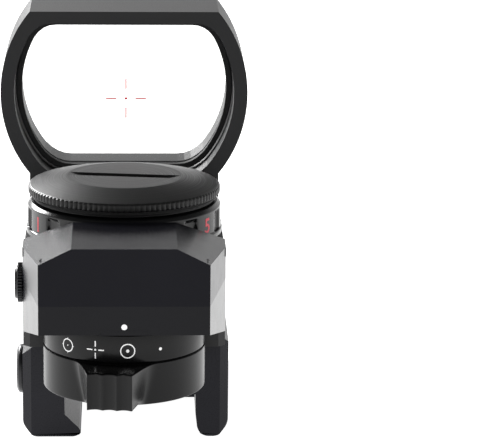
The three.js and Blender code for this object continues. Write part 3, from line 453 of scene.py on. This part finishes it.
# ---------------------------------------------------------------- body, housing and clamp
CASTING_EDGE = 0.16
COWL_EDGE = 0.08
COWL_SHORTEST = 2.0  # edges shorter than this stay crisp
WEB_HALF = 3.6
WEB_THICK = 0.12
WEB_HEIGHT = 0.9
WEB_DROP = 1.25  # from the middle of the index dot to the web's lower edge
JAW_CORNER = 1.3  # flat cut down the outer rear corner of each leg
JAW_ROUND = 0.75
JAW_LONG = 3  # only edges longer than this are worked
JAW_FOOT = 2.6  # height of the foot whose lengthways edges are rounded


def clamp_jaw(node, side):
    """A leg of the clamp: a flat cut down its outer rear corner, and generous round edges."""
    bm = copy_of(node)
    low, high = box_mm(node)
    outer = high.x if side > 0 else low.x
    upright = [edge for edge in bm.edges
               if all(abs(vert.co.x - outer) < 0.05 and vert.co.y < low.y + 0.05
                      for vert in edge.verts) and edge.calc_length() > JAW_LONG]
    rounded_edges(bm, upright, JAW_CORNER, 1)
    lengthways = [edge for edge in bm.edges
                  if edge.calc_length() > JAW_LONG and edge.is_manifold
                  and abs(edge.verts[0].co.y - edge.verts[1].co.y) > 0.95 * edge.calc_length()
                  and edge.verts[0].co.z < low.z + JAW_FOOT
                  and edge.calc_face_angle(0) > math.radians(30)]
    return rounded_edges(bm, lengthways, JAW_ROUND, 5, clamp_overlap=False)


def under_cowl():
    """The lower cover, with the thin web that closes its rear edge over the selector."""
    rear = box_mm("lower_cover")[0].y
    edge = middle("index_dot").z - WEB_DROP
    web = box_shape((-WEB_HALF, rear, edge), (WEB_HALF, rear + WEB_THICK, edge + WEB_HEIGHT))
    return merged(bevel_sharp(copy_of("lower_cover"), COWL_EDGE, 1, COWL_SHORTEST), web)


def cast_parts():
    """The faceted castings keep their CAD shape. The rear cowl's edges stay crisp."""
    finished("hood_and_body", bevel_sharp(copy_of("main_body"), CASTING_EDGE), "sight_body",
             BLASTED, ["main_body"])
    finished("rear_cowl", copy_of("rear_housing"), "sight_body", COWL_PAINT,
             ["rear_housing"], smooth=8)
    finished("under_cowl", under_cowl(), "sight_body", UNDER_COWL_PAINT,
             ["lower_cover"], smooth=20)
    finished("fixed_clamp_jaw", clamp_jaw("clamp_base", 1), "sight_body",
             CLAMP_FINISH, ["clamp_base"])
    finished("sliding_clamp_jaw", clamp_jaw("movable_jaw", -1), "jaw",
             CLAMP_FINISH, ["movable_jaw"])


# ---------------------------------------------------------------- lens
def lens_parts():
    """The lens and its gasket, with broken edges."""
    finished("lens_glass", bevel_sharp(copy_of("lens"), 0.12), "sight_body", GLASS,
             ["lens"])
    finished("lens_gasket", bevel_sharp(copy_of("lens_bezel"), 0.15), "sight_body",
             RUBBER, ["lens_bezel"])


# ---------------------------------------------------------------- battery cap
CAP_TEETH = 112
TOOTH_STEPS = 6
TOOTH_DEPTH = 0.16
CAP_FLAT_SHARE = 0.612  # flat disc of the cap against its rim
CAP_RIM_HEIGHT = 1.3
CAP_DISH = 2.0  # from the cap's top down to its hollow underside
CAP_SKIRT_INSET = 1.1  # inside the hub's radius
COIN_SLOT_HALF = 8.4
COIN_SLOT_DEPTH = 0.8
COIN_SLOT_WIDTH = 2.0
COIN_SLOT_TURN = -8  # degrees


def knurl(bm, teeth, depth, is_rim):
    """Sinks straight V grooves into the rim, whose points the test picks by radius and height."""
    for vert in bm.verts:
        radius = math.hypot(vert.co.x, vert.co.y)
        if is_rim(radius, vert.co.z):
            angle = math.atan2(vert.co.x, -vert.co.y)
            groove = abs(((angle * teeth / math.tau) % 1) * 2 - 1)
            shrink = 1 - depth * max(0.0, groove * 1.6 - 0.6) / radius
            vert.co.x *= shrink
            vert.co.y *= shrink
    return bm


def battery_cap():
    """The coned cap: knurled rim, flat top and a coin slot."""
    low, high = box_mm("battery_cap")
    centre = middle("battery_cap")
    radius = radius_of("battery_cap")
    skirt = radius_of("battery_hub") - CAP_SKIRT_INSET
    bottom = box_mm("battery_hub")[1].z + 0.3
    rim_top = bottom + CAP_RIM_HEIGHT
    flat = radius * CAP_FLAT_SHARE
    outside = rounded([
        (0, high.z - CAP_DISH), (skirt - 1, high.z - CAP_DISH), (skirt - 1, low.z),
        (skirt, low.z),
        (skirt, bottom), (radius - 0.25, bottom), (radius, bottom + 0.2),
        (radius, rim_top - 0.25), (radius - 0.3, rim_top), (flat, high.z - 0.02),
        (flat - 0.15, high.z), (0, high.z)], 0.06, 2)
    cap = turned(outside, CAP_TEETH * TOOTH_STEPS)
    knurl(cap, CAP_TEETH, TOOTH_DEPTH,
          lambda r, z: r > radius - 0.05 and bottom + 0.1 < z < rim_top - 0.1)
    move(cap, (centre.x, centre.y, 0))
    piece = finished("coin_slot_cap", cap, "cap", CAP_FINISH, ["battery_cap"])
    # slot left by a saw: deepest in the middle, running out at both ends
    saw = (COIN_SLOT_HALF ** 2 + COIN_SLOT_DEPTH ** 2) / (2 * COIN_SLOT_DEPTH)
    side = COIN_SLOT_WIDTH / 2
    disc = turned([(0, -side), (saw, -side), (saw, side), (0, side)], 360)
    turn(disc, 90, "X")
    turn(disc, COIN_SLOT_TURN, "Z")
    move(disc, (centre.x, centre.y, high.z - COIN_SLOT_DEPTH + saw))
    cut_from(piece, disc)


def cap_gasket():
    """The seal under the cap, with a lip."""
    low, high = box_mm("cap_gasket")
    centre = middle("cap_gasket")
    inner = radius_of("battery_hub") + 0.3
    outer = radius_of("cap_gasket")
    seal = turned(rounded([
        (inner, low.z), (outer - 0.2, low.z), (outer - 0.2, low.z + 0.2), (outer, low.z + 0.42),
        (outer - 0.2, high.z - 0.2), (outer - 0.2, high.z), (inner, high.z)], 0.08, 2),
        180, closed=True)
    finished("cap_seal", move(seal, (centre.x, centre.y, 0)), "gasket_ring",
             RUBBER, ["cap_gasket"])


# ---------------------------------------------------------------- brightness dial
DIAL_PLACES = 12
DIAL_PITCH = math.tau / DIAL_PLACES
DIAL_START = math.radians(-1.8)  # the red 3 faces the user
SCALLOP_HALF = math.radians(5.4)
SCALLOP_DEPTH = 0.45
SCALLOP_TOP = 0.75  # hollows end this far under the dial's top
NUMERAL_HEIGHT = 2.3


def scallop_depth(angle):
    """How far the dial's side is cut back at this angle: hollows between the numeral lands."""
    from_middle = ((angle - DIAL_START) / DIAL_PITCH) % 1 - 0.5
    away = abs(from_middle) * DIAL_PITCH
    if away > SCALLOP_HALF:
        return 0.0
    edge = min(1.0, (SCALLOP_HALF - away) / math.radians(1.6))
    return SCALLOP_DEPTH * edge * (0.75 + 0.25 * math.cos(away / SCALLOP_HALF * math.pi / 2))


def brightness_dial():
    """The ring under the cap, with hollows between its numerals."""
    low, high = box_mm("brightness_dial")
    centre = middle("brightness_dial")
    radius = radius_of("brightness_dial")
    inner = radius_of("battery_hub") + 0.4
    lip = radius - 0.25
    bottom, top = low.z, high.z
    outline = rounded([
        (inner, bottom), (radius - 0.2, bottom), (radius, bottom + 0.25), (radius, bottom + 0.9),
        (lip, bottom + 1.1), *[(lip, top - SCALLOP_TOP - 0.15 * i) for i in (4, 3, 2, 1, 0)],
        (lip, top - 0.5), (lip - 0.55, top), (inner, top)], 0.12, 3)
    dial = turned(outline, DIAL_PLACES * 36, closed=True)
    for vert in dial.verts:
        reach = math.hypot(vert.co.x, vert.co.y)
        if reach > lip - 0.1 and vert.co.z > bottom + 1.0:
            fade = min(1.0, max(0.0, (top - SCALLOP_TOP - vert.co.z) / 0.6))
            shrink = 1 - math.sqrt(fade) * scallop_depth(math.atan2(vert.co.x, -vert.co.y)) / reach
            vert.co.x *= shrink
            vert.co.y *= shrink
    finished("numbered_dial", move(dial, (centre.x, centre.y, 0)), "dial",
             DIAL_PLASTIC, ["brightness_dial"])


def wrapped(bm, node, radius, height, angle, lift):
    """Lays a flat mark round an upright cylinder, facing outwards at that angle."""
    centre = middle(node)
    for vert in bm.verts:
        around = angle + vert.co.x / radius
        reach = radius + lift + vert.co.z
        vert.co = Vector((centre.x + reach * math.sin(around),
                          centre.y - reach * math.cos(around), height + vert.co.y))
    return bm


def numeral(character, size):
    """One plain digit as a thin raised print."""
    curve = bpy.data.curves.new("digit", "FONT")
    curve.body = character
    curve.size = size / 0.73
    curve.align_x = "CENTER"
    curve.offset = 0.025 * size
    curve.extrude = 0.01
    curve.resolution_u = 6
    holder = bpy.data.objects.new("digit", curve)
    scene.collection.objects.link(holder)
    bpy.context.view_layer.update()
    mesh = bpy.data.meshes.new_from_object(holder)
    bm = bmesh.new()
    bm.from_mesh(mesh)
    bpy.data.objects.remove(holder)
    bpy.data.curves.remove(curve)
    bpy.data.meshes.remove(mesh)
    bmesh.ops.remove_doubles(bm, verts=bm.verts, dist=1e-4)
    return move(bm, (0, -size / 2, 0))


def dial_numerals():
    """Red 1 to 5, green 1 to 5, and an off place between the two runs at each end."""
    height = middle("brightness_dial").z + 0.15
    radius = radius_of("brightness_dial") - 0.25
    runs = [("red", RED_INK_PAINTED_GLOW, "red_diode", "12345", -2, 1),
            ("green", GREEN_INK_PAINTED_GLOW, "green_diode", "12345", 4, 1),
            ("off", WHITE_INK_PAINTED_GLOW, "white_mark", "00", 3, 6)]
    for colour, ink, slot, digits, first, step in runs:
        for i, digit in enumerate(digits):
            angle = DIAL_START + (first + i * step) * DIAL_PITCH
            mark = wrapped(numeral(digit, NUMERAL_HEIGHT), "brightness_dial", radius, height,
                           angle, 0.012)
            finished(f"dial_{colour}_{i + 1}", mark, "dial", ink)


# ---------------------------------------------------------------- reticle selector
TAB_LEAN = math.radians(-7.2)
TAB_REACH = 5.0
TAB_EDGE = math.atan2(3.2, 16.8)
FLUTES = 3
FLUTE_DEPTH = 0.5


def tab_reach(angle, share, ring):
    """How far the finger tab stands out of the grip ring; share is 0 at its foot and 1 on top."""
    away = abs(angle - TAB_LEAN)
    flare_end = math.radians(24 + 10 * share)
    if away >= flare_end:
        return 0.0
    if away <= TAB_EDGE:
        across = (angle - TAB_LEAN + TAB_EDGE) / (2 * TAB_EDGE)
        hollow = abs(math.sin(across * FLUTES * math.pi))
        return (ring + TAB_REACH) / math.cos(away) - ring - FLUTE_DEPTH * hollow ** 0.8
    slope = (flare_end - away) / (flare_end - TAB_EDGE)
    return ((ring + TAB_REACH) / math.cos(TAB_EDGE) - ring) * slope ** 2.3


def selector_grip():
    """The finger ring under the drum, pulled out into a fluted tab."""
    low, high = box_mm("selector_grip")
    centre = middle("selector_drum")
    ring = radius_of("selector_drum")
    sleeve = radius_of("pivot_sleeve") + 0.3
    inner = ring - 1.3
    side = [(ring, low.z + 0.55 + (high.z - low.z - 0.85) * i / 8) for i in range(9)]
    outline = [(sleeve, low.z), *rounded([(ring - 1.6, low.z), (ring, low.z), side[0]], 0.6, 5),
               *side[1:-1], *rounded([side[-1], (ring, high.z), (ring - 0.4, high.z)], 0.18, 3),
               (inner, high.z), (inner, low.z + 1.2), (sleeve, low.z + 1.2)]
    grip = turned(outline, 480, closed=True)
    for vert in grip.verts:
        reach = math.hypot(vert.co.x, vert.co.y)
        if reach > ring - 1.0:
            height = (vert.co.z - low.z) / (high.z - low.z)
            stand = tab_reach(math.atan2(vert.co.x, -vert.co.y), height, ring)
            share = min(1.0, max(0.0, (reach - ring + 0.9) / 0.9))
            tab_floor = 0.6 * min(1.0, stand / 2)
            stretch = 1 + stand * share / reach
            vert.co.x *= stretch
            vert.co.y *= stretch
            if height < 0.5:
                vert.co.z += tab_floor * (1 - 2 * height) * share
    finished("finger_ring", move(grip, (centre.x, centre.y, 0)), "selector",
             SELECTOR_PAINT, ["selector_grip"], smooth=50)


DRUM_LIP = 0.25  # the drum's rim closes most of the gap under the cowl


def selector_drum():
    """The drum that carries the printed symbols."""
    low, high = box_mm("selector_drum")
    centre = middle("selector_drum")
    ring = radius_of("selector_drum")
    sleeve = radius_of("pivot_sleeve") + 0.3
    drum = turned(rounded([
        (sleeve, high.z - 1.1), (ring - 1.3, high.z - 1.1), (ring - 1.3, low.z),
        (ring - 0.25, low.z), (ring - 0.25, low.z + 0.12), (ring - 0.04, low.z + 0.3),
        (ring - 0.04, high.z + DRUM_LIP), (ring - 1.3, high.z + DRUM_LIP),
        (ring - 1.5, high.z), (sleeve, high.z)], 0.08, 2), 240, closed=True)
    finished("symbol_drum", move(drum, (centre.x, centre.y, 0)), "selector",
             SELECTOR_PAINT, ["selector_drum"], smooth=40)


INK_THICK = 0.02
SYMBOL_HEIGHT = 13.4


def ink_ring(radius, width):
    return turned([(radius - width / 2, 0), (radius + width / 2, 0),
                   (radius + width / 2, INK_THICK), (radius - width / 2, INK_THICK)], 48,
                  closed=True)


def ink_dot(radius):
    return turned([(0, 0), (radius, 0), (radius * 0.96, INK_THICK), (0, INK_THICK)], 32)


def ink_bar(x, y, length, width, upright):
    half = Vector((width, length) if upright else (length, width)) / 2
    bar = box_shape((x - half.x, y - half.y, 0), (x + half.x, y + half.y, INK_THICK))
    bmesh.ops.subdivide_edges(bar, edges=bar.edges, cuts=2, use_grid_fill=True)
    return bar


def ink_cross(start, length, width):
    """Four bars round an open middle."""
    away = start + length / 2
    return [ink_bar(x * away, y * away, length, width, upright=bool(y))
            for x, y in ((1, 0), (-1, 0), (0, 1), (0, -1))]


def selector_symbols():
    """The four printed symbols, each at its angle round the drum."""
    radius = radius_of("selector_drum") - 0.04
    symbols = {
        "ticked_circle": (-43.3, [ink_ring(0.91, 0.14), ink_dot(0.09),
                                  *ink_cross(0.8, 0.36, 0.05)]),
        "crosshair": (-20.5, [ink_dot(0.15), *ink_cross(0.45, 0.85, 0.17)]),
        "circle_dot": (2.4, [ink_ring(1.0, 0.16), ink_dot(0.24)]),
        "dot": (26.0, [ink_dot(0.23)]),
    }
    for name, (degrees, shapes) in symbols.items():
        mark = wrapped(merged(*shapes), "selector_drum", radius, SYMBOL_HEIGHT,
                       math.radians(degrees), 0.008)
        finished(f"symbol_{name}", mark, "selector", WHITE_INK_PAINTED_GLOW)


def index_mark():
    """The raised dot on the cowl that the symbols are set against."""
    face = box_mm("index_dot")[1].y
    centre = middle("index_dot")
    radius = radius_of("index_dot")
    dot = turned(rounded([(0, 0), (radius, 0), (radius, 0.06), (0, 0.1)], 0.05, 4), 40)
    turn(dot, 90, "X")
    finished("index_mark", move(dot, (centre.x, face, centre.z)), "sight_body",
             WHITE_INK_PAINTED_GLOW, ["index_dot"])


# ---------------------------------------------------------------- adjusters and clamp knob
def coin_slot(top, length, width, depth):
    """A straight slot across a flat top, drawn about Z."""
    return box_shape((-length / 2, -width / 2, top - depth), (length / 2, width / 2, top + 1))


def windage_knob():
    """The knurled knob on the left, and its shank."""
    low, high = box_mm("windage_screw")
    centre = middle("windage_screw")
    radius = (high.z - low.z) / 2
    shank = 1.1
    wide, disc, foot = -low.x - 0.1, -low.x - 0.5, -low.x - 1.2
    outline = rounded([(0, -high.x), (shank, -high.x), (shank, foot), (radius, foot),
                       (radius, disc), (radius - 0.5, disc + 0.05), (radius - 0.6, wide),
                       (0, wide)], 0.08, 3)
    knob = turned(outline, 40 * 8)
    knurl(knob, 40, 0.22, lambda r, z: r > radius - 0.05 and foot + 0.05 < z < disc - 0.05)
    piece = finished("windage_knob", move(pointing_left(knob), (0, centre.y, centre.z)),
                     "windage_knob", OXIDE, ["windage_screw"])
    slot = pointing_left(coin_slot(wide, 3.6, 0.5, 0.35))
    cut_from(piece, move(slot, (0, centre.y, centre.z)))


def elevation_knob():
    """The knurled knob on the deck, and its shank."""
    low, high = box_mm("elevation_screw")
    centre = middle("elevation_screw")
    radius = radius_of("elevation_screw")
    foot = high.z - 1.1
    outline = rounded([(0, low.z), (1.1, low.z), (1.1, foot), (radius, foot),
                       (radius, high.z), (0, high.z)], 0.14, 3)
    knob = turned(outline, 28 * 8)
    knurl(knob, 28, 0.2, lambda r, z: r > radius - 0.05 and foot + 0.1 < z < high.z - 0.1)
    piece = finished("elevation_knob", move(knob, (centre.x, centre.y, 0)), "elevation_knob",
                     OXIDE, ["elevation_screw"])
    cut_from(piece, move(coin_slot(high.z, 3.6, 0.5, 0.4), (centre.x, centre.y, 0)))


def clamp_knob():
    """The plain head of the clamp screw with its slot, and its shank."""
    low, high = box_mm("clamp_screw")
    centre = middle("clamp_screw")
    radius = (high.z - low.z) / 2
    wide, foot = -low.x, -low.x - 1.1
    outline = rounded([(0, -high.x), (2, -high.x), (2, foot), (radius - 0.1, foot),
                       (radius, foot + 0.3), (radius - 0.1, wide - 0.35), (radius - 0.7, wide),
                       (0, wide)], 0.25, 5)
    knob = turned(outline, 160)
    piece = finished("clamp_knob", move(pointing_left(knob), (0, centre.y, centre.z)),
                     "jaw_screw", OXIDE, ["clamp_screw"])
    slot = pointing_left(coin_slot(wide, 5.6, 1.0, 0.55))
    cut_from(piece, move(slot, (0, centre.y, centre.z)))


def socket_screws():
    """Cap screws that hold the clamp base, with a hexagon socket in each head."""
    for number in range(1, 5):
        node = f"base_screw_{number}"
        low, high = box_mm(node)
        centre = middle(node)
        radius = radius_of(node)
        outline = rounded([(0, low.z + 1.1), (1.25, low.z + 1.1), (1.35, low.z),
                           (radius - 0.2, low.z), (radius, low.z + 0.2), (radius, low.z + 2.1),
                           (1.2, low.z + 2.1), (1.2, high.z - 0.3), (0.9, high.z), (0, high.z)],
                          0.06, 2)
        screw = turned(outline, 48)
        for vert in screw.verts:
            reach = math.hypot(vert.co.x, vert.co.y)
            if 0.1 < reach < 1.4 and vert.co.z < low.z + 1.15:
                sixth = math.atan2(vert.co.y, vert.co.x) % (math.pi / 3) - math.pi / 6
                squeeze = math.cos(math.pi / 6) / math.cos(sixth)
                vert.co.x *= squeeze
                vert.co.y *= squeeze
        finished(f"clamp_base_screw_{number}", move(screw, (centre.x, centre.y, 0)),
                 "sight_body", OXIDE, [node])


def pivot_head():
    """The screw under the selector."""
    low, high = box_mm("pivot_screw")
    centre = middle("pivot_screw")
    radius = radius_of("pivot_screw")
    outline = rounded([(0, low.z), (radius - 0.35, low.z), (radius, low.z + 0.35),
                       (radius, low.z + 1.1), (1.6, low.z + 1.1), (1.6, high.z - 0.3),
                       (1.3, high.z), (0, high.z)], 0.08, 3)
    piece = finished("pivot_head", move(turned(outline, 96), (centre.x, centre.y, 0)),
                     "sight_body", OXIDE, ["pivot_screw"])
    slot = box_shape((-3.2, -0.45, low.z - 1), (3.2, 0.45, low.z + 0.5))
    cut_from(piece, move(slot, (centre.x, centre.y, 0)))


# ---------------------------------------------------------------- projected reticle
RETICLE_DROP = 14.65  # below the top of the hood
RETICLE_ASIDE = 0.27
RETICLE_GAP = 0.1  # behind the glass
LENS_LEAN = math.radians(9)


def projected_reticle():
    """The red aiming mark that the lens shows: four bars and a dot, just behind the glass."""
    low = box_mm("lens")[0]
    height = box_mm("main_body")[1].z - RETICLE_DROP
    rear = low.y + math.tan(LENS_LEAN) * (height - low.z)
    mark = turn(merged(ink_dot(0.22), *ink_cross(1.5, 1.72, 0.2)), 90, "X")
    finished("projected_reticle", move(mark, (RETICLE_ASIDE, rear - RETICLE_GAP, height)),
             "sight_body", RETICLE_LIGHT)


# ---------------------------------------------------------------- CAD nodes that stay
STAYING = {
    OXIDE: ["cover_screw_left", "cover_screw_right", "reticle_mask", "prism_carriage",
            "mirror_block"],
    HUB_PLASTIC: ["battery_hub"],
    STEEL: ["hub_screw_left", "hub_screw_right", "coin_cell", "guide_pin_rear",
            "guide_pin_front", "dial_detent_ball", "dial_detent_spring",
            "selector_detent_ball", "selector_detent_spring"],
    BRASS: ["base_contact", "cap_contact", "dial_wiper", "pivot_sleeve"],
    SILVERED: ["fold_mirror"],
    GLASS: ["prism", "beam_window"],
    BOARD: ["rheostat_ring", "diode_board"],
    RED_EPOXY: ["red_diode"],
    GREEN_EPOXY: ["green_diode"],
}


def inner_parts():
    """CAD nodes whose shape is right get their finish."""
    for material, nodes in STAYING.items():
        for node in nodes:
            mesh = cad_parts[node].data
            mesh.materials.clear()
            mesh.materials.append(material)


# ---------------------------------------------------------------- studio
CAMERA_PLACE = Vector((0, -455.25, 132.74))
CAMERA_DOWN = 13.7
CAMERA_TURN = -2.4  # pans, so that the object stands left of the middle of the view
CAMERA_LENS = 216
FLOOR_HALF = 6.0
FLOOR_GAP = 0.00005  # keeps the floor just clear of the feet
SOFTBOX_PLACE = (-0.4, 0.58, 0.38)
SOFTBOX_AIM = (0, -0.01, 0.025)
SOFTBOX_SIZE = (0.42, 0.25)
SOFTBOX_POWER = 10.5


def camera():
    data = bpy.data.cameras.new("camera")
    data.lens = CAMERA_LENS
    data.sensor_width = 36
    data.clip_start = 0.01
    data.clip_end = 20
    eye = bpy.data.objects.new("camera", data)
    scene.collection.objects.link(eye)
    eye.matrix_world = (Matrix.Translation(CAMERA_PLACE * MM)
                        @ Matrix.Rotation(math.radians(90 - CAMERA_DOWN), 4, "X")
                        @ Matrix.Rotation(math.radians(CAMERA_TURN), 4, "Y"))
    scene.camera = eye


def softbox():
    """One big soft light, ahead of the object and to its left."""
    data = bpy.data.lights.new("left_softbox", "AREA")
    data.shape = "RECTANGLE"
    data.size, data.size_y = SOFTBOX_SIZE
    data.energy = SOFTBOX_POWER
    light = bpy.data.objects.new("left_softbox", data)
    scene.collection.objects.link(light)
    light.location = SOFTBOX_PLACE
    facing = Vector(SOFTBOX_AIM) - Vector(SOFTBOX_PLACE)
    light.rotation_euler = facing.to_track_quat("-Z", "Y").to_euler()


def floor():
    """A pale sheet that glows, so that shadows are faint and no horizon shows."""
    bm = bmesh.new()
    bmesh.ops.create_grid(bm, x_segments=2, y_segments=2, size=FLOOR_HALF)
    mesh = bpy.data.meshes.new("floor")
    bm.to_mesh(mesh)
    bm.free()
    material, _, surface = shader("pale_floor", Roughness=0.8)
    surface.inputs["Base Color"].default_value = to_linear("d2d2d2")
    surface.inputs["Specular IOR Level"].default_value = 0.1
    surface.inputs["Emission Color"].default_value = to_linear("ffffff")
    surface.inputs["Emission Strength"].default_value = 1.0
    mesh.materials.append(material)
    ground = bpy.data.objects.new("floor", mesh)
    ground.location.z = cad_low.z - FLOOR_GAP
    scene.collection.objects.link(ground)


def sky():
    """A white cyclorama low down all round, darker overhead."""
    world = bpy.data.worlds.new("studio")
    scene.world = world
    world.use_nodes = True
    tree = world.node_tree
    tree.nodes.clear()
    direction = add_node(tree, "ShaderNodeTexCoord").outputs["Generated"]
    height = add_node(tree, "ShaderNodeSeparateXYZ", {"Vector": direction}).outputs["Z"]
    strength = add_node(tree, "ShaderNodeMapRange",
                        {"Value": height, "From Min": 0.28, "From Max": 0.6, "To Min": 1.0,
                         "To Max": 0.12}, interpolation_type="SMOOTHSTEP").outputs["Result"]
    shine = add_node(tree, "ShaderNodeBackground",
                     {"Color": (1, 1, 1, 1), "Strength": strength})
    add_node(tree, "ShaderNodeOutputWorld", {"Surface": shine.outputs["Background"]})


def studio():
    camera()
    floor()
    sky()
    softbox()
    scene.view_settings.view_transform = "Standard"


studio()
cast_parts()
lens_parts()
battery_cap()
cap_gasket()
brightness_dial()
dial_numerals()
selector_drum()
selector_grip()
selector_symbols()
index_mark()
windage_knob()
elevation_knob()
clamp_knob()
socket_screws()
pivot_head()
projected_reticle()
inner_parts()
